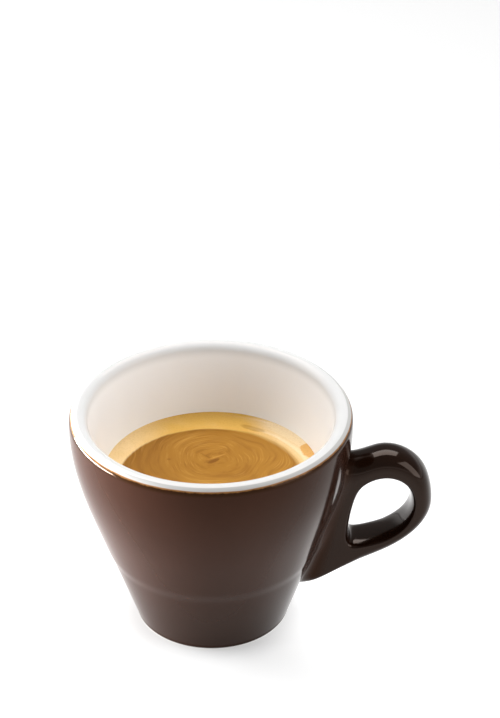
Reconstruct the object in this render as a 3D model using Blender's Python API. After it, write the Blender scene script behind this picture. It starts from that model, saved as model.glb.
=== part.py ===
"""An espresso in its thick-walled cup, with a broad ear handle along +X.

The origin is the centre of the underside, +Z is up, and every size is in metres.
"""

import bmesh
import bpy
import numpy as np

MM = 0.001

# The cup's outer wall: a cone that turns upright towards the lip
CUP_HEIGHT = 56.0 * MM
FOOT_RADIUS = 18.35 * MM
CONE_SLOPE = 0.34
UPTURN_START = 28.0 * MM
UPTURN_LENGTH = 24.5 * MM
UPTURN_POWER = 1.7
FOOT_EDGE_RADIUS = 1.0 * MM
# The foot band is set in a little below a soft ring
FOOT_INSET = 0.18 * MM
RING_BOTTOM = 18.0 * MM
RING_TOP = 21.4 * MM

# The lip is a round bead, and the bowl inside rises as the cube of its radius
LIP_RADIUS = 2.1 * MM
BOWL_FLOOR = 7.0 * MM
BOWL_POWER = 3.0
BOWL_WALL_LEAN = np.radians(11.5)

# The espresso fills the bowl up to this level
DRINK_LEVEL = 38.8 * MM
DRINK_GAP = 0.3 * MM

# The handle is a ring of clay round a finger hole, buried in the wall on its left
HANDLE_HALF_WIDTH = 4.9 * MM
HANDLE_EDGE_ROUND = 3.2 * MM
HANDLE_SECTION_POWER = 2.3
HANDLE_FILLET = 2.6 * MM
# Outline and hole run anticlockwise from the far right, as (x, z) in millimetres
HANDLE_OUTLINE = (
    (52.5, 32.0),
    (51.1, 39.5),
    (46.2, 44.3),
    (40.2, 45.7),
    (35.4, 43.2),
    (30.0, 42.8),
    (27.6, 36.0),
    (25.2, 28.0),
    (21.6, 18.0),
    (18.6, 9.8),
    (21.6, 7.0),
    (27.2, 10.6),
    (35.0, 14.7),
    (43.0, 18.4),
    (49.0, 23.3),
    (51.9, 28.0),
)
HANDLE_HOLE = (
    (47.3, 32.6),
    (46.1, 36.5),
    (42.5, 38.7),
    (38.8, 38.4),
    (35.9, 36.7),
    (34.5, 34.4),
    (33.7, 31.2),
    (33.1, 28.0),
    (32.5, 24.8),
    (32.4, 22.0),
    (33.3, 20.4),
    (35.3, 20.3),
    (38.5, 21.2),
    (42.1, 22.8),
    (45.2, 25.2),
    (47.0, 28.8),
)

# How finely the solids are faceted
TURNED_SEGMENTS = 96
OUTER_WALL_STEPS = 16
LIP_STEPS = 7
BOWL_STEPS = 10
HANDLE_STATIONS = 56
ARC_STEPS = 4
FLAT_STEPS = 3
FILLET_ROUNDS = 24

GLAZE_BROWN = (0.070, 0.038, 0.027, 1.0)
CREMA_GOLD = (0.50, 0.25, 0.055, 1.0)


def clear_scene():
    for obj in list(bpy.data.objects):
        bpy.data.objects.remove(obj, do_unlink=True)


def principled(name, colour, roughness, metallic=0.0):
    material = bpy.data.materials.new(name)
    material.use_nodes = True
    shader = material.node_tree.nodes["Principled BSDF"]
    shader.inputs["Base Color"].default_value = colour
    shader.inputs["Roughness"].default_value = roughness
    shader.inputs["Metallic"].default_value = metallic
    return material


def smooth_step(value, low, high):
    t = np.clip((value - low) / (high - low), 0.0, 1.0)
    return t * t * (3.0 - 2.0 * t)


def outer_radius(z):
    """The cone, less a power of the height above the upturn, less the foot band's inset."""
    above = np.maximum(z - UPTURN_START, 0.0)
    power = UPTURN_POWER + 1.0
    upturn = CONE_SLOPE * above**power / (power * UPTURN_LENGTH**UPTURN_POWER)
    inset = FOOT_INSET * (1.0 - smooth_step(z, RING_BOTTOM, RING_TOP))
    return FOOT_RADIUS + CONE_SLOPE * z - upturn - inset


LIP_CENTRE_Z = CUP_HEIGHT - LIP_RADIUS
LIP_CENTRE_R = float(outer_radius(LIP_CENTRE_Z)) - LIP_RADIUS
BOWL_TOP_R = LIP_CENTRE_R - LIP_RADIUS * np.cos(BOWL_WALL_LEAN)
BOWL_TOP_Z = LIP_CENTRE_Z + LIP_RADIUS * np.sin(BOWL_WALL_LEAN)


def bowl_height(r):
    """The height of the bowl's surface at the radius r."""
    return BOWL_FLOOR + (BOWL_TOP_Z - BOWL_FLOOR) * (r / BOWL_TOP_R) ** BOWL_POWER


def bowl_radius(z):
    """The bowl's radius at the height z."""
    return BOWL_TOP_R * ((z - BOWL_FLOOR) / (BOWL_TOP_Z - BOWL_FLOOR)) ** (1.0 / BOWL_POWER)


def cup_profile():
    """(r, z) from the centre of the underside, up the wall, over the lip and down to the bowl's floor."""
    edge = np.linspace(-np.pi / 2.0, 0.0, 4)
    edge_r = outer_radius(FOOT_EDGE_RADIUS) - FOOT_EDGE_RADIUS * (1.0 - np.cos(edge))
    edge_z = FOOT_EDGE_RADIUS * (1.0 + np.sin(edge))
    wall_z = np.linspace(FOOT_EDGE_RADIUS, LIP_CENTRE_Z, OUTER_WALL_STEPS)[1:-1]
    turn = np.linspace(0.0, np.pi - BOWL_WALL_LEAN, LIP_STEPS)
    lip_r = LIP_CENTRE_R + LIP_RADIUS * np.cos(turn)
    lip_z = LIP_CENTRE_Z + LIP_RADIUS * np.sin(turn)
    bowl_r = np.linspace(BOWL_TOP_R, 0.0, BOWL_STEPS)[1:]
    radii = np.concatenate([[0.0], edge_r, outer_radius(wall_z), lip_r, bowl_r])
    heights = np.concatenate([[0.0], edge_z, wall_z, lip_z, bowl_height(bowl_r)])
    return radii, heights


def drink_profile():
    """(r, z) from the lowest point of the drink, up along the bowl and in over the level surface."""
    level_r = bowl_radius(DRINK_LEVEL) - DRINK_GAP
    side_r = np.linspace(0.0, level_r, BOWL_STEPS)
    side_z = bowl_height(side_r + DRINK_GAP) + DRINK_GAP
    side_z[-1] = DRINK_LEVEL
    return np.concatenate([side_r, [0.0]]), np.concatenate([side_z, [DRINK_LEVEL]])


def add_object(name, mesh, material):
    mesh.materials.append(material)
    obj = bpy.data.objects.new(name, mesh)
    bpy.context.scene.collection.objects.link(obj)
    return obj


def turned_solid(name, profile, material):
    """Spins a profile that starts and ends on the axis into one closed solid."""
    mesh = bpy.data.meshes.new(name)
    bm = bmesh.new()
    verts = [bm.verts.new((r, 0.0, z)) for r, z in zip(*profile)]
    edges = [bm.edges.new(pair) for pair in zip(verts, verts[1:])]
    bmesh.ops.spin(
        bm,
        geom=verts + edges,
        cent=(0.0, 0.0, 0.0),
        axis=(0.0, 0.0, 1.0),
        angle=2.0 * np.pi,
        steps=TURNED_SEGMENTS,
        use_merge=True,
    )
    bmesh.ops.remove_doubles(bm, verts=bm.verts, dist=0.01 * MM)
    bmesh.ops.recalc_face_normals(bm, faces=bm.faces)
    bm.to_mesh(mesh)
    bm.free()
    return add_object(name, mesh, material)


def closed_spline(points, count):
    """A closed uniform cubic B-spline through the pull of its points, read at count places."""
    points = np.array(points) * MM
    place = np.arange(count) * len(points) / count
    index = place.astype(int)
    t = place - index
    weights = (
        (1.0 - t) ** 3 / 6.0,
        (3.0 * t**3 - 6.0 * t**2 + 4.0) / 6.0,
        (-3.0 * t**3 + 3.0 * t**2 + 3.0 * t + 1.0) / 6.0,
        t**3 / 6.0,
    )
    return sum(w[:, None] * points[(index + k - 1) % len(points)] for k, w in enumerate(weights))


def handle_rings():
    """Section rings round the hole, as an array of (station, point, xyz).

    Each section runs from the hole's edge out to the outline: a rounded end, a flat face, a
    rounded end, and back on the other side. Near the wall it widens into a round fillet.
    """
    outline = closed_spline(HANDLE_OUTLINE, HANDLE_STATIONS)
    hole = closed_spline(HANDLE_HOLE, HANDLE_STATIONS)
    reach = np.linalg.norm(outline - hole, axis=1)[:, None]
    rounding = np.minimum(reach / 2.0, HANDLE_EDGE_ROUND)
    angle = np.linspace(0.0, np.pi / 2.0, ARC_STEPS + 1)
    bulge = rounding * (1.0 - np.abs(np.cos(angle)) ** (2.0 / HANDLE_SECTION_POWER))
    rise = np.sin(angle) ** (2.0 / HANDLE_SECTION_POWER)
    flat = np.linspace(0.0, 1.0, FLAT_STEPS + 2)[1:-1]
    along = np.hstack([bulge, rounding + (reach - 2.0 * rounding) * flat, reach - bulge[:, ::-1]])
    side = np.concatenate([rise, np.ones(FLAT_STEPS), rise[::-1]])
    along = np.hstack([along, along[:, -2:0:-1]])
    side = np.concatenate([side, -side[-2:0:-1]])
    centre = hole[:, None, :] + (outline - hole)[:, None, :] * (along / reach)[:, :, None]
    x, z = centre[..., 0], centre[..., 1]
    y = side * HANDLE_HALF_WIDTH
    # The wall is round, so its gap shrinks as the fillet widens: a few rounds settle both
    for _ in range(FILLET_ROUNDS):
        gap = np.clip(np.hypot(x, y) - outer_radius(z), 0.0, HANDLE_FILLET)
        widening = HANDLE_FILLET - np.sqrt(gap * (2.0 * HANDLE_FILLET - gap))
        y = (y + side * (HANDLE_HALF_WIDTH + widening)) / 2.0
    return np.stack([x, y, z], axis=-1)


def handle_solid(material):
    rings = handle_rings()
    mesh = bpy.data.meshes.new("handle_ring")
    bm = bmesh.new()
    loops = [[bm.verts.new(point) for point in ring] for ring in rings]
    for ring, following in zip(loops, loops[1:] + loops[:1]):
        for i, vert in enumerate(ring):
            j = (i + 1) % len(ring)
            bm.faces.new((vert, ring[j], following[j], following[i]))
    bmesh.ops.recalc_face_normals(bm, faces=bm.faces)
    bmesh.ops.triangulate(bm, faces=bm.faces)
    bm.to_mesh(mesh)
    bm.free()
    return add_object("handle_ring", mesh, material)


def join_by_union(base, other):
    """Joins other to base as one solid, and removes other."""
    union = base.modifiers.new("join", "BOOLEAN")
    union.operation = "UNION"
    union.object = other
    graph = bpy.context.evaluated_depsgraph_get()
    joined = bpy.data.meshes.new_from_object(base.evaluated_get(graph))
    base.modifiers.clear()
    base.data = joined
    bpy.data.objects.remove(other, do_unlink=True)


def shade(obj):
    obj.data.shade_smooth()
    obj.data.set_sharp_from_angle(angle=np.radians(40.0))


def main():
    clear_scene()
    glaze = principled("brown_glaze", GLAZE_BROWN, 0.15)
    crema = principled("crema", CREMA_GOLD, 0.35)
    cup = turned_solid("cup", cup_profile(), glaze)
    join_by_union(cup, handle_solid(glaze))
    espresso = turned_solid("espresso", drink_profile(), crema)
    for obj in (cup, espresso):
        shade(obj)


main()
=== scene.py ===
"""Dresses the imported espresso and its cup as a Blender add-on run as a script.

Every length in the settings but the lens is in metres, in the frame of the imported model: the origin
is the centre of the cup's underside, +Z is up, and the handle lies along +X.
"""

import bpy
import numpy as np
from bpy.props import FloatProperty, FloatVectorProperty, PointerProperty
from bpy.types import Operator, Panel, PropertyGroup
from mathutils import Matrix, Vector


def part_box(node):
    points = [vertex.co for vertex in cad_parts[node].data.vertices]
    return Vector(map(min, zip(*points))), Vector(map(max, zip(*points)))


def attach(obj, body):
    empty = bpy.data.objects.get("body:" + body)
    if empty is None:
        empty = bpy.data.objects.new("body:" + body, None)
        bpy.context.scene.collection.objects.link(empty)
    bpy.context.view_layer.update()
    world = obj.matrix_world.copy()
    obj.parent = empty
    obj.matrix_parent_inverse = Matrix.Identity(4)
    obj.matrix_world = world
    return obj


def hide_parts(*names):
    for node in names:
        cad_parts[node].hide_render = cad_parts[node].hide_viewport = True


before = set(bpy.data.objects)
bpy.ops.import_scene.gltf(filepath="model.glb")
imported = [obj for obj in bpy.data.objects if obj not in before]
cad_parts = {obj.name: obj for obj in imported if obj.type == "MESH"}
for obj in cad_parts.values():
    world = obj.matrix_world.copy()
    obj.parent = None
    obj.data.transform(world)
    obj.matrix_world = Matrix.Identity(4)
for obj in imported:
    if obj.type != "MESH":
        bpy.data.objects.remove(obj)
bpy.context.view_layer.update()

bl_info = {
    "name": "Espresso Cup Dresser",
    "version": (1, 0, 0),
    "blender": (4, 5, 0),
    "location": "3D View > Sidebar > Espresso",
    "description": "Builds a glazed espresso cup, its handle, the crema and a small photo stage",
    "category": "Add Mesh",
}

MM = 0.001

CUP_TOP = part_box("cup")[1].z
DRINK_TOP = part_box("espresso")[1].z

# How finely the surfaces are laid
TURNED_COLUMNS = 360
UNDERSIDE_STEPS = 7
FOOT_EDGE_STEPS = 9
WALL_STEPS = 92
LIP_STEPS = 33
BOWL_STEPS = 48
DRINK_SIDE_STEPS = 40
DRINK_TOP_STEPS = 170
HANDLE_STATIONS = 320
HANDLE_ARC_STEPS = 22
HANDLE_FLAT_STEPS = 16
FILLET_ROUNDS = 24


def length(name, description, default):
    """A setting in metres."""
    return FloatProperty(name=name, description=description, default=default, unit="LENGTH", precision=5)


def share(name, description, default, most=1.0):
    """A plain factor."""
    return FloatProperty(name=name, description=description, default=default, min=0.0, max=most)


def lamp_power(name, description, default):
    """A setting in watts."""
    return FloatProperty(name=name, description=description, default=default, min=0.0, unit="POWER")


def colour(name, description, default):
    """A linear colour."""
    return FloatVectorProperty(
        name=name, description=description, default=default, subtype="COLOR", size=3, min=0.0, max=1.0
    )


class CupSizes(PropertyGroup):
    height: length("Height", "From the table to the top of the lip", CUP_TOP)
    foot_radius: length("Foot radius", "The cone's radius at the table", 18.35 * MM)
    cone_slope: share("Cone slope", "How much the radius grows for each unit of height", 0.34)
    upturn_start: length("Upturn start", "The height where the wall leaves its cone", 28.0 * MM)
    upturn_length: length("Upturn length", "How far above that the wall stands upright", 24.5 * MM)
    upturn_power: share("Upturn power", "How late the wall turns upright", 1.7, 4.0)
    foot_edge: length("Foot edge", "The round at the foot's edge", 1.0 * MM)
    foot_inset: length("Foot inset", "How far the foot band lies inside the cone", 0.18 * MM)
    ring_bottom: length("Ring bottom", "Where the foot band starts to swell", 18.0 * MM)
    ring_top: length("Ring top", "Where the foot band meets the cone", 21.4 * MM)
    lip_radius: length("Lip radius", "The radius of the round lip", 2.1 * MM)
    bowl_floor: length("Bowl floor", "The height of the bowl's lowest point", 7.0 * MM)
    bowl_power: share("Bowl power", "The power of the radius by which the bowl rises", 3.0, 8.0)
    bowl_lean: FloatProperty(
        name="Bowl lean",
        description="How far the bowl's wall leans out at the lip",
        default=np.radians(11.5),
        subtype="ANGLE",
    )


class HandleSizes(PropertyGroup):
    half_width: length("Half width", "Half the handle's thickness across its faces", 4.9 * MM)
    hole_round: length("Hole round", "How far the rounding reaches from the finger hole", 1.5 * MM)
    back_round: length("Back round", "How far the rounding reaches from the outline", 4.8 * MM)
    section_power: share("Section power", "The power of the rounded ends, 2 for an ellipse", 2.3, 6.0)
    fillet: length("Fillet", "The radius of the hollow where the handle meets the wall", 2.6 * MM)


class DrinkSizes(PropertyGroup):
    level: length("Level", "The height of the crema's surface", DRINK_TOP)
    wall_overlap: length("Wall overlap", "How far the drink reaches into the bowl's wall", 0.12 * MM)
    meniscus: length("Meniscus", "How far the crema climbs at the wall", 0.12 * MM)
    band_swell: length("Band swell", "How far the pale foam band stands over the middle", 0.12 * MM)
    swirl_relief: length("Swirl relief", "The depth of the swirled ridges", 0.015 * MM)
    swirl_x: length("Swirl centre X", "Where the swirls turn", 0.8 * MM)
    swirl_y: length("Swirl centre Y", "Where the swirls turn", 5.4 * MM)
    pool_x: length("Pool centre X", "The middle of the dark pool", -0.3 * MM)
    pool_y: length("Pool centre Y", "The middle of the dark pool", -3.9 * MM)
    pool_radius: length("Pool radius", "The radius of the dark pool", 22.0 * MM)


class Finishes(PropertyGroup):
    brown: colour("Brown glaze", "The outer glaze, at its brightest", (0.0350, 0.0140, 0.0090))
    # Painted shade: this darker brown lies towards the foot and the right side; the same colour also
    # darkens the handle and comes in random clouds
    brown_dark_and_shade: colour(
        "Deep brown glaze", "The darker glaze of the handle, foot and right side", (0.009, 0.0032, 0.0014)
    )
    amber: colour("Amber glaze", "The thin glaze at the edge of the brown", (0.27, 0.125, 0.045))
    line: colour("Dark line", "The thick bead of glaze under the amber edge", (0.026, 0.010, 0.004))
    white: colour("White glaze", "The bowl", (0.90, 0.90, 0.895))
    # Painted shade: the lip's white is darker than the bowl's, so that the lip, which more light reaches,
    # is not brighter
    lip: colour("Lip glaze", "The thinner, cooler white over the lip", (0.66, 0.66, 0.655))
    # Painted shade: the grey on the lip's outer edge, just above the brown
    lip_edge_shade: colour("Lip edge", "The greyer white just above the brown", (0.46, 0.455, 0.445))
    bisque: colour("Bisque", "The bare clay of the foot's underside", (0.62, 0.57, 0.50))
    pool: colour("Pool", "The crema's darker middle", (0.345, 0.153, 0.0155))
    pool_dark: colour("Dark streaks", "The darkest streaks in the middle", (0.20, 0.072, 0.005))
    pool_light: colour("Light streaks", "The lightest streaks in the middle", (0.56, 0.29, 0.055))
    band: colour("Band", "The golden foam by the wall", (0.70, 0.41, 0.090))
    # Painted reflection: the palest foam also makes the sheen painted at the band's right
    band_pale_and_sheen: colour("Pale band", "The palest foam", (0.90, 0.70, 0.43))
    patch: colour("Patch", "The yellow patch in the pale foam", (0.76, 0.42, 0.13))


class StageSettings(PropertyGroup):
    lens: FloatProperty(name="Lens", description="The camera's focal length", default=129.36, unit="CAMERA")
    floor: colour("Floor", "The floor's own colour", (0.50, 0.50, 0.50))
    # Painted light: the glow is strongest round the cup, where it washes out the cup's shadows
    glow: share("Floor glow", "How brightly the floor shines, as a lit product table does", 0.90, 5.0)
    top: lamp_power("Top light", "The softbox above and behind", 5.2)
    left: lamp_power("Left light", "The softbox at the left", 2.4)
    strip: lamp_power("Strip light", "The low strip at the left", 11.0)
    right: lamp_power("Right light", "The softbox at the right and in front", 2.6)
    horizon: share("Horizon", "The strength of the pale surroundings near the horizon", 0.95, 5.0)
    zenith: share("Zenith", "The strength of the surroundings overhead", 0.29, 5.0)


def lay_surface(name, vertices, quads, triangles, material, node):
    """Makes a smooth mesh from whole arrays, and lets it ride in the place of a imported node."""
    mesh = bpy.data.meshes.new(name)
    corners = np.concatenate([quads.ravel(), triangles.ravel()]).astype(np.int32)
    sizes = np.concatenate([np.full(len(quads), 4), np.full(len(triangles), 3)]).astype(np.int32)
    starts = np.concatenate([[0], np.cumsum(sizes)[:-1]]).astype(np.int32)
    mesh.vertices.add(len(vertices))
    mesh.vertices.foreach_set("co", vertices.astype(np.float32).ravel())
    mesh.loops.add(len(corners))
    mesh.loops.foreach_set("vertex_index", corners)
    mesh.polygons.add(len(sizes))
    mesh.polygons.foreach_set("loop_start", starts)
    mesh.update(calc_edges=True)
    mesh.validate()
    mesh.shade_smooth()
    mesh.materials.append(material)
    obj = bpy.data.objects.new(name, mesh)
    bpy.context.scene.collection.objects.link(obj)
    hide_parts(node)
    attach(obj, "root")


def ring_quads(rows, columns, wrap_rows=False):
    """Quads of a grid of rows by columns whose columns, and rows if asked, close on themselves.

    Rows run along the shape and columns round it. A face goes one column round, one row on, and back.
    """
    row = np.arange(rows if wrap_rows else rows - 1)[:, None]
    column = np.arange(columns)[None, :]
    following_row = (row + 1) % rows
    following_column = (column + 1) % columns
    corners = (
        row * columns + column,
        row * columns + following_column,
        following_row * columns + following_column,
        following_row * columns + column,
    )
    return np.stack(corners, axis=-1).reshape(-1, 4)


def turned_surface(radii, heights, columns, lift=None):
    """Turns a profile that starts and ends on the axis: (r cos a, r sin a, z) for the angle a.

    lift(x, y, z) gives what is added to each point's height. The two ends become points with fans.
    """
    angle = np.arange(columns) * 2.0 * np.pi / columns
    r, z = radii[1:-1, None], heights[1:-1, None]
    x, y = r * np.cos(angle), r * np.sin(angle)
    z = np.broadcast_to(z, x.shape)
    ends_z = np.array([heights[0], heights[-1]])
    if lift is not None:
        z = z + lift(x, y, z)
        ends_z = ends_z + lift(np.zeros(2), np.zeros(2), ends_z)
    rings = np.stack([x, y, z], axis=-1).reshape(-1, 3)
    ends = np.stack([np.zeros(2), np.zeros(2), ends_z], axis=-1)
    rows = len(radii) - 2
    first, last = len(rings), len(rings) + 1
    here = np.arange(columns)
    following = (here + 1) % columns
    top = (rows - 1) * columns
    first_fan = np.stack([np.full(columns, first), following, here], axis=-1)
    last_fan = np.stack([np.full(columns, last), top + here, top + following], axis=-1)
    vertices = np.concatenate([rings, ends])
    return vertices, ring_quads(rows, columns), np.concatenate([first_fan, last_fan])


def smooth_step(value, low, high):
    """Nought below low, one above high, and 3t^2 - 2t^3 between."""
    t = np.clip((value - low) / (high - low), 0.0, 1.0)
    return t * t * (3.0 - 2.0 * t)


def outer_radius(cup, z):
    """The cone, less a power of the height above the upturn, less the foot band's inset."""
    above = np.maximum(z - cup.upturn_start, 0.0)
    power = cup.upturn_power + 1.0
    upturn = cup.cone_slope * above**power / (power * cup.upturn_length**cup.upturn_power)
    inset = cup.foot_inset * (1.0 - smooth_step(z, cup.ring_bottom, cup.ring_top))
    return cup.foot_radius + cup.cone_slope * z - upturn - inset


def lip_centre(cup):
    """(r, z) of the middle of the lip's round."""
    z = cup.height - cup.lip_radius
    return float(outer_radius(cup, z)) - cup.lip_radius, z


def bowl_top(cup):
    """(r, z) where the lip's round runs into the bowl's wall."""
    r, z = lip_centre(cup)
    return r - cup.lip_radius * np.cos(cup.bowl_lean), z + cup.lip_radius * np.sin(cup.bowl_lean)


def bowl_height(cup, r):
    """The bowl rises from its floor by a power of the radius."""
    top_r, top_z = bowl_top(cup)
    return cup.bowl_floor + (top_z - cup.bowl_floor) * (r / top_r) ** cup.bowl_power


def bowl_radius(cup, z):
    """The bowl's radius at a height: bowl_height turned round."""
    top_r, top_z = bowl_top(cup)
    return top_r * ((z - cup.bowl_floor) / (top_z - cup.bowl_floor)) ** (1.0 / cup.bowl_power)


def cup_profile(cup):
    """(r, z) from the underside's centre out, up the wall, over the lip and down to the bowl's floor."""
    edge = np.linspace(-np.pi / 2.0, 0.0, FOOT_EDGE_STEPS)
    edge_r = outer_radius(cup, cup.foot_edge) - cup.foot_edge * (1.0 - np.cos(edge))
    edge_z = cup.foot_edge * (1.0 + np.sin(edge))
    under_r = np.linspace(0.0, edge_r[0], UNDERSIDE_STEPS)[:-1]
    lip_r, lip_z = lip_centre(cup)
    wall_z = np.linspace(cup.foot_edge, lip_z, WALL_STEPS)[1:-1]
    turn = np.linspace(0.0, np.pi - cup.bowl_lean, LIP_STEPS)
    round_r = lip_r + cup.lip_radius * np.cos(turn)
    round_z = lip_z + cup.lip_radius * np.sin(turn)
    bowl_r = bowl_top(cup)[0] * np.linspace(1.0, 0.0, BOWL_STEPS)[1:]
    radii = np.concatenate([under_r, edge_r, outer_radius(cup, wall_z), round_r, bowl_r])
    heights = np.concatenate([np.zeros(len(under_r)), edge_z, wall_z, round_z, bowl_height(cup, bowl_r)])
    return radii, heights


# The handle's outline and hole, anticlockwise from the far right, as (x, z) in millimetres
HANDLE_OUTLINE = (
    (52.5, 32.0),
    (51.1, 39.5),
    (46.2, 44.3),
    (40.2, 45.7),
    (35.4, 43.2),
    (30.0, 42.8),
    (27.6, 36.0),
    (25.2, 28.0),
    (21.6, 18.0),
    (18.6, 9.8),
    (21.6, 7.0),
    (27.2, 10.6),
    (35.0, 14.7),
    (43.0, 18.4),
    (49.0, 23.3),
    (51.9, 28.0),
)
HANDLE_HOLE = (
    (47.3, 32.6),
    (46.1, 36.5),
    (42.5, 38.7),
    (38.8, 38.4),
    (35.9, 36.7),
    (34.5, 34.4),
    (33.7, 31.2),
    (33.1, 28.0),
    (32.5, 24.8),
    (32.4, 22.0),
    (33.3, 20.4),
    (35.3, 20.3),
    (38.5, 21.2),
    (42.1, 22.8),
    (45.2, 25.2),
    (47.0, 28.8),
)
# Neither rounding takes up more of a section than this share of it
HOLE_ROUND_SHARE = 0.3
BACK_ROUND_SHARE = 0.6


def closed_spline(points, count):
    """A closed uniform cubic B-spline through the pull of its points, read at count places."""
    points = np.array(points) * MM
    place = np.arange(count) * len(points) / count
    index = place.astype(int)
    t = place - index
    weights = (
        (1.0 - t) ** 3 / 6.0,
        (3.0 * t**3 - 6.0 * t**2 + 4.0) / 6.0,
        (-3.0 * t**3 + 3.0 * t**2 + 3.0 * t + 1.0) / 6.0,
        t**3 / 6.0,
    )
    return sum(w[:, None] * points[(index + k - 1) % len(points)] for k, w in enumerate(weights))


def handle_surface(cup, handle):
    """Sections round the finger hole, from the hole's edge to the outline and back.

    Each section has a superellipse end, a flat face and another end. With t from nought to a right
    angle and the power n, an end goes outwards by 1 - (cos t)^(2/n) and sideways by (sin t)^(2/n).
    Near the wall the width grows by R - sqrt(gap (2 R - gap)), a round fillet of the radius R.
    """
    outline = closed_spline(HANDLE_OUTLINE, HANDLE_STATIONS)
    hole = closed_spline(HANDLE_HOLE, HANDLE_STATIONS)
    reach = np.linalg.norm(outline - hole, axis=1)[:, None]
    inner = np.minimum(reach * HOLE_ROUND_SHARE, handle.hole_round)
    outer = np.minimum(reach * BACK_ROUND_SHARE, handle.back_round)
    angle = np.linspace(0.0, np.pi / 2.0, HANDLE_ARC_STEPS + 1)
    bulge = 1.0 - np.abs(np.cos(angle)) ** (2.0 / handle.section_power)
    rise = np.sin(angle) ** (2.0 / handle.section_power)
    flat = np.linspace(0.0, 1.0, HANDLE_FLAT_STEPS + 2)[1:-1]
    along = np.hstack([inner * bulge, inner + (reach - inner - outer) * flat, reach - outer * bulge[::-1]])
    side = np.concatenate([rise, np.ones(HANDLE_FLAT_STEPS), rise[::-1]])
    along = np.hstack([along, along[:, -2:0:-1]])
    side = np.concatenate([side, -side[-2:0:-1]])
    place = hole[:, None, :] + (outline - hole)[:, None, :] * (along / reach)[:, :, None]
    x, z = place[..., 0], place[..., 1]
    y = side * handle.half_width
    # The wall is round, so its gap shrinks as the fillet widens: a few rounds settle both
    for _ in range(FILLET_ROUNDS):
        gap = np.clip(np.hypot(x, y) - outer_radius(cup, z), 0.0, handle.fillet)
        widening = handle.fillet - np.sqrt(gap * (2.0 * handle.fillet - gap))
        y = (y + side * (handle.half_width + widening)) / 2.0
    points = np.stack([x, y, z], axis=-1)[:, ::-1]
    return points.reshape(-1, 3), ring_quads(HANDLE_STATIONS, points.shape[1], wrap_rows=True)


def drink_profile(cup, drink):
    """(r, z) from the drink's lowest point up along the bowl, just inside its wall, and in over the top."""
    level_r = bowl_radius(cup, drink.level + drink.meniscus) + drink.wall_overlap
    side_r = np.linspace(0.0, level_r, DRINK_SIDE_STEPS)
    side_z = bowl_height(cup, np.maximum(side_r - drink.wall_overlap, 0.0)) - drink.wall_overlap
    top_r = level_r * np.linspace(1.0, 0.0, DRINK_TOP_STEPS)[1:]
    return np.concatenate([side_r, top_r]), np.concatenate([side_z, np.full(len(top_r), drink.level)])


# The meniscus falls to about a third over this distance from the wall
MENISCUS_REACH = 0.5 * MM
# Where the foam band rises, from the pool's radius
BAND_RISE = (-1.2 * MM, 1.6 * MM)
# The swirled ridges: the distance outwards for each radian, the radians for each radian round the
# swirl, how far they sway, the distance for a radian of the sway, and where they fade at the centre
RIDGE_PITCH = 0.62 * MM
RIDGE_TURNS = 2.0
RIDGE_SWAY = 1.3
SWAY_PITCH = 5.0 * MM
RIDGE_FADE = (0.5 * MM, 2.5 * MM)


def drink_relief(cup, drink):
    """The height added to the drink's top: a meniscus, the swollen foam band and the swirled ridges.

    The meniscus dies away from the wall as e^(-distance / reach). The ridges are the sine of the
    distance from the swirl's centre over their pitch, plus the direction's turns and a sway.
    """
    edge_r = bowl_radius(cup, drink.level)
    rise_start, rise_end = drink.pool_radius + BAND_RISE[0], drink.pool_radius + BAND_RISE[1]

    def lift(x, y, z):
        from_edge = np.maximum(edge_r - np.hypot(x, y), 0.0)
        climb = drink.meniscus * np.exp(-from_edge / MENISCUS_REACH)
        in_band = smooth_step(np.hypot(x - drink.pool_x, y - drink.pool_y), rise_start, rise_end)
        swirl_r = np.hypot(x - drink.swirl_x, y - drink.swirl_y)
        turn = RIDGE_TURNS * np.arctan2(y - drink.swirl_y, x - drink.swirl_x)
        ridges = np.sin(swirl_r / RIDGE_PITCH + turn + RIDGE_SWAY * np.sin(turn + swirl_r / SWAY_PITCH))
        fade = smooth_step(swirl_r, *RIDGE_FADE) * (1.0 - in_band)
        added = climb + drink.band_swell * in_band + drink.swirl_relief * ridges * fade
        # The points along the wall lie lower and stay where they are
        return np.where(z > drink.level - 0.5 * drink.meniscus, added, 0.0)

    return lift


class Value:
    """Wraps a node socket, so that shader maths reads as a Python expression."""

    def __init__(self, tree, socket):
        self.tree = tree
        self.socket = socket

    def math(self, operation, *others):
        node = self.tree.nodes.new("ShaderNodeMath")
        node.operation = operation
        for place, value in enumerate((self, *others)):
            if isinstance(value, Value):
                self.tree.links.new(value.socket, node.inputs[place])
            else:
                node.inputs[place].default_value = value
        return Value(self.tree, node.outputs[0])

    def __add__(self, other):
        return self.math("ADD", other)

    def __sub__(self, other):
        return self.math("SUBTRACT", other)

    def __rsub__(self, other):
        return (self * -1.0).math("ADD", other)

    def __mul__(self, other):
        return self.math("MULTIPLY", other)

    def __truediv__(self, other):
        return self.math("DIVIDE", other)

    def __pow__(self, other):
        return self.math("POWER", other)

    __radd__ = __add__
    __rmul__ = __mul__

    def clamped(self):
        return self.math("MAXIMUM", 0.0).math("MINIMUM", 1.0)

    def step(self, low, high, most=1.0):
        """A smooth step from nought at low to most at high."""
        t = ((self - low) / (high - low)).clamped()
        return t * t * (3.0 - 2.0 * t) * most


def distance(u, v):
    """How far the point (u, v) is from nought: the root of the sum of the squares."""
    return (u * u + v * v) ** 0.5


# A Mix node's sockets for colours, by number, because several sockets share a name
MIX_FACTOR, MIX_A, MIX_B, MIX_COLOUR = 0, 6, 7, 2


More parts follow.
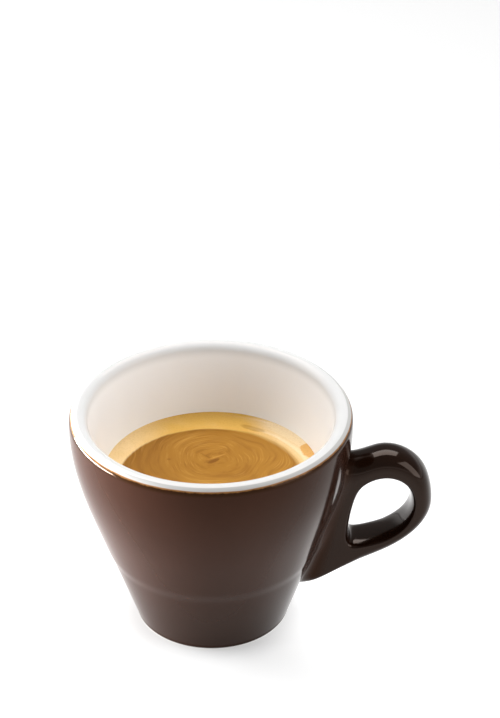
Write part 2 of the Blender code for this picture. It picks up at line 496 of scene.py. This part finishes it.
class Shader:
    """The node tree of a material or world, with one way to add a node."""

    def __init__(self, owner, surface="Principled BSDF"):
        owner.use_nodes = True
        self.owner = owner
        self.tree = owner.node_tree
        self.surface = self.tree.nodes[surface]

    def node(self, kind, settings=None, inputs=None, output=0):
        """Adds a node, sets its settings first and its sockets next, and returns one output."""
        node = self.tree.nodes.new(kind)
        for key, value in (settings or {}).items():
            setattr(node, key, value)
        for key, value in (inputs or {}).items():
            self.feed(node.inputs[key], value)
        return Value(self.tree, node.outputs[output])

    def feed(self, socket, value):
        if isinstance(value, Value):
            self.tree.links.new(value.socket, socket)
        else:
            socket.default_value = value

    def place(self):
        """Object coordinates, and their three parts."""
        coordinates = self.node("ShaderNodeTexCoord", output="Object")
        return coordinates, *(self.part(coordinates, axis) for axis in "XYZ")

    def part(self, vector, axis):
        """One part of a vector, by the letter of its axis."""
        return self.node("ShaderNodeSeparateXYZ", inputs={0: vector}, output=axis)

    def vector(self, x, y, z):
        return self.node("ShaderNodeCombineXYZ", inputs={0: x, 1: y, 2: z})

    def noise(self, vector, scale, detail, roughness=0.5):
        settings = {"noise_dimensions": "3D"}
        inputs = {"Vector": vector, "Scale": scale, "Detail": detail, "Roughness": roughness}
        return self.node("ShaderNodeTexNoise", settings, inputs)

    def blend(self, factor, low, high):
        """A colour between low and high."""
        low, high = (end if isinstance(end, Value) else (*end, 1.0) for end in (low, high))
        inputs = {MIX_FACTOR: factor, MIX_A: low, MIX_B: high}
        return self.node("ShaderNodeMix", {"data_type": "RGBA"}, inputs, MIX_COLOUR)

    def bump(self, height, strength, distance):
        inputs = {"Height": height, "Strength": strength, "Distance": distance}
        return self.node("ShaderNodeBump", inputs=inputs)

    def finish(self, **sockets):
        """Sets the surface's sockets by name, with underscores for blanks."""
        for key, value in sockets.items():
            self.feed(self.surface.inputs[key.replace("_", " ")], value)
        return self.owner


# The brown begins this far up the lip's round, from its outer side
LINE_ANGLE = np.radians(41.0)
# Edges near that line, measured down the outside from it: the painted shade at the lip's outer edge, the
# brown's start, the end of the amber and the end of the dark line
LIP_EDGE_SHADE_START = (-1.7 * MM, -0.9 * MM)
BROWN_START = (-0.06 * MM, 0.12 * MM)
AMBER_END = (0.12 * MM, 0.55 * MM)
DARK_LINE_END = (0.75 * MM, 1.60 * MM)
# The lip's darker white, painted shade, comes in over this height round the middle of the lip
LIP_FADE = (-1.5 * MM, 1.5 * MM)
# A cone inside the wall, which parts the outer skin from the bowl
MID_WALL_FOOT = 15.0 * MM
MID_WALL_SLOPE = 0.3
MID_WALL_EDGE = (0.0, 0.2 * MM)
# The handle begins past a plane that leans with the wall and touches it at this height
ROOT_HEIGHT = 30.0 * MM
ROOT_LEAN = 0.22
ROOT_EDGE = (-0.5 * MM, 3.0 * MM)
# Where the darker brown starts and is full, and its share there: in random clouds, and as painted shade
# downwards and to the right
CLOUD_DEPTH = (0.3, 0.7, 0.15)
FOOT_SHADE = (32.0 * MM, 2.0 * MM, 0.70)
RIGHT_SHADE = (5.0 * MM, 30.0 * MM, 0.45)
# The bare clay ends at this height
BARE_END = (0.02 * MM, 0.35 * MM)
# Noises of the glaze: waves for each metre, and layers of detail
LINE_WOBBLE = (110.0, 1.0)
LINE_RAGGED = (900.0, 2.0)
GLAZE_CLOUDS = (60.0, 3.0)
GLAZE_RIPPLE = (90.0, 1.0)
GLAZE_GRAIN = (1500.0, 2.0)
WOBBLE_SWING = 0.30 * MM
RAGGED_SWING = 0.45 * MM
RIPPLE_HEIGHT = 0.25 * MM
GRAIN_HEIGHT = 0.01 * MM
GLAZE_BUMP = 0.12
# Roughness of the white glaze, and what the brown glaze and the bare clay add to it
GLAZE_ROUGHNESS = 0.08
BROWN_ROUGHNESS = 0.04
BARE_ROUGHNESS = 0.6
# How much the glaze mirrors and its tint there, and the clear coat on the handle
GLAZE_SHINE = 0.16
GLAZE_SHINE_TINT = (1.0, 0.62, 0.42, 1.0)
HANDLE_COAT = 0.24
COAT_ROUGHNESS = 0.04


def glaze_material(cup, look):
    """White glaze in the bowl and over the lip, with painted shade on the lip, brown outside, with painted
    shade towards the foot and the right, thin and amber where the two meet.
    """
    shader = Shader(bpy.data.materials.new("cup_glaze"))
    coordinates, x, y, z = shader.place()
    r = distance(x, y)
    lip_r, lip_z = lip_centre(cup)
    wobble = (shader.noise(coordinates, *LINE_WOBBLE) - 0.5) * WOBBLE_SWING
    # How far down the outside a point lies from the line where the brown begins
    past_line = (r - lip_r) * np.sin(LINE_ANGLE) - (z - lip_z) * np.cos(LINE_ANGLE) + wobble
    ragged = past_line + (shader.noise(coordinates, *LINE_RAGGED) - 0.5) * RAGGED_SWING
    outside = (r - z * MID_WALL_SLOPE - MID_WALL_FOOT).step(*MID_WALL_EDGE)
    past_root = x - outer_radius(cup, ROOT_HEIGHT) - z * ROOT_LEAN + ROOT_HEIGHT * ROOT_LEAN
    onto_handle = past_root.step(*ROOT_EDGE)

    clouds = shader.noise(coordinates, *GLAZE_CLOUDS)
    brown = look.brown
    # The brown darkens in random clouds, over the handle, and as painted shade towards the foot and the
    # right side
    for depth in (clouds.step(*CLOUD_DEPTH), z.step(*FOOT_SHADE), x.step(*RIGHT_SHADE), onto_handle):
        brown = shader.blend(depth, brown, look.brown_dark_and_shade)
    brown = shader.blend(past_line.step(*DARK_LINE_END), look.line, brown)
    brown = shader.blend(ragged.step(*AMBER_END), look.amber, brown)
    # The lip's darker white and the grey at its outer edge are painted shade
    white = shader.blend((z - lip_z).step(*LIP_FADE), look.white, look.lip)
    white = shader.blend(past_line.step(*LIP_EDGE_SHADE_START) * outside, white, look.lip_edge_shade)
    in_brown = past_line.step(*BROWN_START) * outside
    bare = 1.0 - z.step(*BARE_END)
    skin = shader.blend(bare, shader.blend(in_brown, white, brown), look.bisque)

    ripple = shader.noise(coordinates, *GLAZE_RIPPLE)
    grain = shader.noise(coordinates, *GLAZE_GRAIN)
    return shader.finish(
        Base_Color=skin,
        Roughness=bare * BARE_ROUGHNESS + GLAZE_ROUGHNESS + in_brown * BROWN_ROUGHNESS,
        Normal=shader.bump(ripple * RIPPLE_HEIGHT + grain * GRAIN_HEIGHT, GLAZE_BUMP, 1.0),
        Specular_IOR_Level=GLAZE_SHINE,
        Specular_Tint=GLAZE_SHINE_TINT,
        Coat_Weight=onto_handle * HANDLE_COAT,
        Coat_Roughness=COAT_ROUGHNESS,
    )


# Noises of the crema: waves for each metre, and layers of detail
RAGGED_NOISE = (420.0, 3.0)
DRIFT_NOISE = (95.0, 1.0)
HAIR_PATCHES = (130.0, 1.0)
FOAM_NOISE = (180.0, 3.0)
BUBBLE_NOISE = (2600.0, 2.0)
# Noises that run round the swirl: waves round it, waves for each millimetre outwards, how far the
# drift shifts them, layers of detail, and roughness
STREAKS = (0.8, 0.55, 2.0, 4.0, 0.6)
HAIRS = (1.3, 2.8, 3.0, 2.0, 0.5)
ARCS = (0.5, 1.3, 0.0, 3.0, 0.5)
# How far the drift bends the swirl, in millimetres, and the radians it winds on for each millimetre
SWIRL_BEND = 6.0
SWIRL_WIND = 0.13
# Where each tint of the pool starts and is full, by a noise or in millimetres, and its share there
DARK_STREAKS = (0.50, 0.36, 0.42)
LIGHT_STREAKS = (0.54, 0.70, 0.32)
DARK_HAIRS = (0.54, 0.66, 0.35)
LIGHT_HAIRS = (0.44, 0.34, 0.42)
LEFT_SHADE = (-2.0, -20.0, 0.30)
FRONT_LIGHT = (0.0, -9.0, 0.34)
RIGHT_LIGHT = 0.10
# The hairs show in the patches of a noise, and only away from the swirl's centre
HAIRS_SEEN = (0.40, 0.62)
HAIRS_FROM_CENTRE = (1.5, 5.0)
# A darker rim inside the pool's edge, in millimetres
RIM_WIDTH = 3.0
RIM_SHADE = 0.15
# The pool's edge, in millimetres: how far the streaks tear it, and how soft it is, with more at the right
EDGE_TEAR = 0.7
EDGE_SOFT = 0.35
EDGE_SOFT_RIGHT = 0.7
RIGHT_SIDE = (2.0, 17.0)
# Where the foam turns pale, in millimetres, and how pale: at the left, and at the right, where the paleness
# is a painted reflection that grows past the pool's edge and has arcs in it
PALE_LEFT = (-7.0, -22.0, 0.56)
SHEEN_RIGHT = (7.0, 17.0)
SHEEN_PAST_EDGE = (0.4, 2.6)
SHEEN_AT_EDGE = 0.4
PALE_FOAM = 0.35
SHEEN_ARCS = 1.2
# Marks in the pool: the centre, half length and half width in millimetres, lean, share and colour
POOL_MARKS = {
    "hook": (0.5, 4.3, 1.6, 0.60, 0.6, 0.95, "pool_dark"),
    "tail": (-1.3, 6.4, 1.9, 0.30, -0.8, 0.40, "pool_dark"),
    "speck": (-10.1, 5.2, 0.5, 0.40, 0.0, 0.55, "pool_dark"),
    "light line": (1.2, 6.0, 2.4, 0.26, 0.5, 0.45, "pool_light"),
}
# Marks in the foam, the first with the softness of its edge; the yellow patch is foam where the painted
# reflection at the right breaks off
YELLOW_PATCH = (24.6, 8.4, 3.2, 3.4, 0.3, 0.12)
BROWN_WISP = (10.2, 17.9, 3.2, 0.9, -0.5)
WISP_SHARE = 0.45
# How ragged the edges of all marks are, and how soft where a mark doesn't say
MARK_TEAR = 1.5
MARK_SOFT = 0.5
# The fine bubbles darken the foam and give it a grain
BUBBLE_SHADE = (0.40, 0.75, 0.14)
BUBBLE_HEIGHT = 0.02 * MM
FOAM_HEIGHT = 0.04 * MM
CREMA_BUMP = 0.4
CREMA_ROUGHNESS = 0.5
CREMA_SHINE = 0.10


def crema_material(drink, look):
    """Fine foam: a pale band by the wall, with a painted reflection at its right, and a darker pool whose
    streaks turn round one centre.

    The streaks are a noise over (cos w, sin w, r), where r is the distance from the swirl's centre and
    w the direction wound on with r. So they run round the centre, long and thin.
    """
    shader = Shader(bpy.data.materials.new("crema_foam"))
    coordinates, x, y, _ = shader.place()
    across, ahead = x * (1.0 / MM), y * (1.0 / MM)
    ragged = shader.noise(coordinates, *RAGGED_NOISE)
    drift = shader.noise(coordinates, *DRIFT_NOISE) - 0.5
    from_x = across - drink.swirl_x / MM + drift * SWIRL_BEND
    from_y = ahead - drink.swirl_y / MM
    swirl_r = distance(from_x, from_y)
    wound = from_y.math("ARCTAN2", from_x) + swirl_r * SWIRL_WIND
    cosine, sine = wound.math("COSINE"), wound.math("SINE")

    def turned_noise(out, waves, out_waves, shift, detail, roughness):
        """A noise over (cos w, sin w, out), each times its waves, so that it runs round the swirl."""
        place = shader.vector(cosine * waves, sine * waves, out * out_waves + drift * shift)
        return shader.noise(place, 1.0, detail, roughness)

    def blot(centre_x, centre_y, long_half, short_half, lean, edge=MARK_SOFT):
        """One inside an oval at a place in millimetres, turned by lean, and nought outside it.

        With u and v along and across the oval, each over its half, it ends where u^2 + v^2 is one.
        """
        aside, along = across - centre_x, ahead - centre_y
        u = (aside * np.cos(lean) + along * np.sin(lean)) / long_half
        v = (along * np.cos(lean) - aside * np.sin(lean)) / short_half
        return 1.0 - (u * u + v * v + (ragged - 0.5) * MARK_TEAR).step(1.0 - edge, 1.0 + edge)

    streaks = turned_noise(swirl_r, *STREAKS)
    hairs = turned_noise(swirl_r, *HAIRS)
    seen = shader.noise(coordinates, *HAIR_PATCHES).step(*HAIRS_SEEN) * swirl_r.step(*HAIRS_FROM_CENTRE)
    pool_r = distance(across - drink.pool_x / MM, ahead - drink.pool_y / MM) + (streaks - 0.5) * EDGE_TEAR
    edge_r = drink.pool_radius / MM
    rightness = across.step(*RIGHT_SIDE)
    tints = (
        (streaks.step(*DARK_STREAKS), look.pool_dark),
        (streaks.step(*LIGHT_STREAKS), look.pool_light),
        (hairs.step(*DARK_HAIRS) * seen, look.pool_dark),
        (hairs.step(*LIGHT_HAIRS) * seen, look.pool_light),
        (across.step(*LEFT_SHADE), look.pool_dark),
        (rightness * RIGHT_LIGHT + ahead.step(*FRONT_LIGHT), look.pool_light),
        (pool_r.step(edge_r - RIM_WIDTH, edge_r, RIM_SHADE) * (1.0 - rightness), look.pool_dark),
    )
    marks = [(blot(*oval) * most, getattr(look, key)) for *oval, most, key in POOL_MARKS.values()]
    pool = look.pool
    for strength, tint in (*tints, *marks):
        pool = shader.blend(strength, pool, tint)

    foam = shader.noise(coordinates, *FOAM_NOISE)
    arcs = turned_noise(pool_r, *ARCS)
    # Painted reflection: the foam at the right turns pale, more past the pool's edge and in arcs, as if it
    # mirrored light
    past_edge = pool_r.step(edge_r + SHEEN_PAST_EDGE[0], edge_r + SHEEN_PAST_EDGE[1])
    pale = across.step(*SHEEN_RIGHT) * (past_edge * (1.0 - SHEEN_AT_EDGE) + SHEEN_AT_EDGE)
    pale = pale + across.step(*PALE_LEFT) + (foam - 0.5) * PALE_FOAM + (arcs - 0.5) * rightness * SHEEN_ARCS
    band = shader.blend(pale.clamped(), look.band, look.band_pale_and_sheen)
    band = shader.blend(blot(*YELLOW_PATCH), band, look.patch)
    band = shader.blend(blot(*BROWN_WISP) * WISP_SHARE, band, look.pool)

    soft = rightness * EDGE_SOFT_RIGHT + EDGE_SOFT
    skin = shader.blend(pool_r.step(edge_r - soft, edge_r + soft), pool, band)
    bubbles = shader.noise(coordinates, *BUBBLE_NOISE)
    return shader.finish(
        Base_Color=shader.blend(bubbles.step(*BUBBLE_SHADE), skin, look.pool),
        Roughness=CREMA_ROUGHNESS,
        Normal=shader.bump(bubbles * BUBBLE_HEIGHT + foam * FOAM_HEIGHT, CREMA_BUMP, 1.0),
        Specular_IOR_Level=CREMA_SHINE,
    )


class ESPRESSO_OT_cup_wall(Operator):
    """Turns the cup's wall, lip and bowl"""

    bl_idname = "espresso.cup_wall"
    bl_label = "Cup Wall"

    def execute(self, context):
        cup, look = context.scene.espresso_cup, context.scene.espresso_look
        vertices, quads, fans = turned_surface(*cup_profile(cup), TURNED_COLUMNS)
        lay_surface("cup_wall", vertices, quads, fans, glaze_material(cup, look), "cup")
        return {"FINISHED"}


class ESPRESSO_OT_handle(Operator):
    """Sweeps the ear handle round its finger hole"""

    bl_idname = "espresso.handle"
    bl_label = "Handle"

    def execute(self, context):
        cup, handle = context.scene.espresso_cup, context.scene.espresso_handle
        vertices, quads = handle_surface(cup, handle)
        no_fans = np.empty((0, 3), int)
        glaze = bpy.data.materials["cup_glaze"]
        lay_surface("cup_handle", vertices, quads, no_fans, glaze, "cup")
        return {"FINISHED"}


class ESPRESSO_OT_drink(Operator):
    """Fills the bowl with espresso under its crema"""

    bl_idname = "espresso.drink"
    bl_label = "Drink"

    def execute(self, context):
        scene = context.scene
        cup, drink, look = scene.espresso_cup, scene.espresso_drink, scene.espresso_look
        profile = drink_profile(cup, drink)
        vertices, quads, fans = turned_surface(*profile, TURNED_COLUMNS, drink_relief(cup, drink))
        material = crema_material(drink, look)
        lay_surface("espresso_crema", vertices, quads, fans, material, "espresso")
        return {"FINISHED"}


# The soft lights: name, place, target, width and height in metres, and the setting of their watts
SOFT_LIGHTS = (
    ("top_softbox", (0.02, 0.33, 0.69), (0.0, 0.0, 0.03), 0.76, 0.42, "top"),
    ("left_softbox", (-0.55, 0.16, 0.42), (0.0, 0.0, 0.03), 0.45, 0.45, "left"),
    ("low_strip", (-0.41, 0.07, 0.028), (0.0, 0.0, 0.028), 0.36, 0.05, "strip"),
    ("right_softbox", (0.61, -0.33, 0.33), (0.0, 0.0, 0.03), 0.46, 0.58, "right"),
)


def softbox(name, place, target, width, height, watts):
    """A rectangular lamp that faces its target."""
    lamp = bpy.data.lights.new(name, "AREA")
    lamp.shape = "RECTANGLE"
    lamp.size = width
    lamp.size_y = height
    lamp.energy = watts
    obj = bpy.data.objects.new(name, lamp)
    obj.location = place
    obj.rotation_euler = (Vector(target) - Vector(place)).to_track_quat("-Z", "Y").to_euler()
    bpy.context.scene.collection.objects.link(obj)


# The floor's glow: a share everywhere, and painted light in an oval round the cup and its handle that
# leaves out the foot, and in a spot at the right of the foot, where it lights away the shadow that would
# fall there
GLOW_EVERYWHERE = 0.24
OVAL_GLOW = 0.38
OVAL_X = 45.0 * MM
OVAL_SQUASH = 0.6
OVAL_FADE = (35.0 * MM, 110.0 * MM)
FOOT_FADE = (12.0 * MM, 26.0 * MM)
SPOT_GLOW = 0.55
SPOT_X, SPOT_Y = 35.0 * MM, -3.0 * MM
SPOT_FADE = (4.0 * MM, 33.0 * MM)
FLOOR_ROUGHNESS = 0.8
FLOOR_SHINE = 0.1


def floor_material(stage):
    """A pale floor that glows evenly, and with painted light round the cup, most where its shadow would
    fall.

    The oval fades with the root of (squash (x - its x))^2 + y^2, and the spot with the distance from
    its middle.
    """
    shader = Shader(bpy.data.materials.new("pale_floor"))
    _, x, y, _ = shader.place()
    oval = 1.0 - distance((x - OVAL_X) * OVAL_SQUASH, y).step(*OVAL_FADE)
    oval = oval * distance(x, y).step(*FOOT_FADE)
    spot = 1.0 - distance(x - SPOT_X, y - SPOT_Y).step(*SPOT_FADE)
    # Painted light: the oval and the spot wash out the cup's shadows on the floor
    glow = oval * OVAL_GLOW + spot * SPOT_GLOW + GLOW_EVERYWHERE
    return shader.finish(
        Base_Color=(*stage.floor, 1.0),
        Roughness=FLOOR_ROUGHNESS,
        Specular_IOR_Level=FLOOR_SHINE,
        Emission_Color=shader.blend(glow, (0.0, 0.0, 0.0), (1.0, 1.0, 1.0)),
        Emission_Strength=stage.glow,
    )


# The surroundings darken over this upward part of the direction
SKY_FADE = (0.05, 0.30)


def studio_world(stage):
    """Pale surroundings that darken with height, so that the glaze shows the softboxes."""
    shader = Shader(bpy.data.worlds.new("studio"), "Background")
    rise = shader.part(shader.node("ShaderNodeTexCoord", output="Generated"), "Z").step(*SKY_FADE)
    strength = rise * (stage.zenith - stage.horizon) + stage.horizon
    return shader.finish(Color=(1.0, 1.0, 1.0, 1.0), Strength=strength)


# Half the floor's side, in metres
FLOOR_HALF = 4.0
# The camera's place in metres and its direction, fitted to the rim, the foot and the wall in the photo
CAMERA_PLACE = (0.0, -504.34 * MM, 381.025 * MM)
CAMERA_DIRECTION = (0.01529972, 0.85089165, -0.52511838)
# The sensor's width in millimetres, and the nearest distance that the camera sees, in metres
SENSOR_WIDTH = 36.0
CLIP_START = 0.01


class ESPRESSO_OT_stage(Operator):
    """Sets the pale floor, the soft lights and the camera"""

    bl_idname = "espresso.stage"
    bl_label = "Stage"

    def execute(self, context):
        scene, stage = context.scene, context.scene.espresso_stage
        scene.view_settings.view_transform = "Standard"
        mesh = bpy.data.meshes.new("floor")
        corners = [(-1, -1), (1, -1), (1, 1), (-1, 1)]
        mesh.from_pydata([(a * FLOOR_HALF, b * FLOOR_HALF, 0.0) for a, b in corners], [], [(0, 1, 2, 3)])
        floor = bpy.data.objects.new("floor", mesh)
        scene.collection.objects.link(floor)
        mesh.materials.append(floor_material(stage))

        for *light, setting in SOFT_LIGHTS:
            softbox(*light, getattr(stage, setting))
        scene.world = studio_world(stage)

        camera = bpy.data.cameras.new("camera")
        camera.lens = stage.lens
        camera.sensor_width = SENSOR_WIDTH
        camera.clip_start = CLIP_START
        obj = bpy.data.objects.new("camera", camera)
        obj.location = CAMERA_PLACE
        direction = Vector(CAMERA_DIRECTION).normalized()
        obj.rotation_euler = direction.to_track_quat("-Z", "Y").to_euler()
        scene.collection.objects.link(obj)
        scene.camera = obj
        return {"FINISHED"}


class ESPRESSO_PT_panel(Panel):
    """Lists the settings and the builders"""

    bl_idname = "ESPRESSO_PT_panel"
    bl_label = "Espresso"
    bl_space_type = "VIEW_3D"
    bl_region_type = "UI"
    bl_category = "Espresso"

    def draw(self, context):
        for group in SETTINGS:
            box = self.layout.box()
            for key in SETTINGS[group].__annotations__:
                box.prop(getattr(context.scene, group), key)
        for operator in OPERATORS:
            self.layout.operator(operator.bl_idname)


SETTINGS = {
    "espresso_cup": CupSizes,
    "espresso_handle": HandleSizes,
    "espresso_drink": DrinkSizes,
    "espresso_look": Finishes,
    "espresso_stage": StageSettings,
}
OPERATORS = (ESPRESSO_OT_cup_wall, ESPRESSO_OT_handle, ESPRESSO_OT_drink, ESPRESSO_OT_stage)


def register():
    for cls in (*SETTINGS.values(), *OPERATORS, ESPRESSO_PT_panel):
        bpy.utils.register_class(cls)
    for key, group in SETTINGS.items():
        setattr(bpy.types.Scene, key, PointerProperty(type=group))


def unregister():
    for key in SETTINGS:
        delattr(bpy.types.Scene, key)
    for cls in (ESPRESSO_PT_panel, *reversed(OPERATORS), *reversed(SETTINGS.values())):
        bpy.utils.unregister_class(cls)


def main():
    register()
    for operator in OPERATORS:
        group, name = operator.bl_idname.split(".")
        getattr(getattr(bpy.ops, group), name)()


if __name__ == "__main__":
    main()
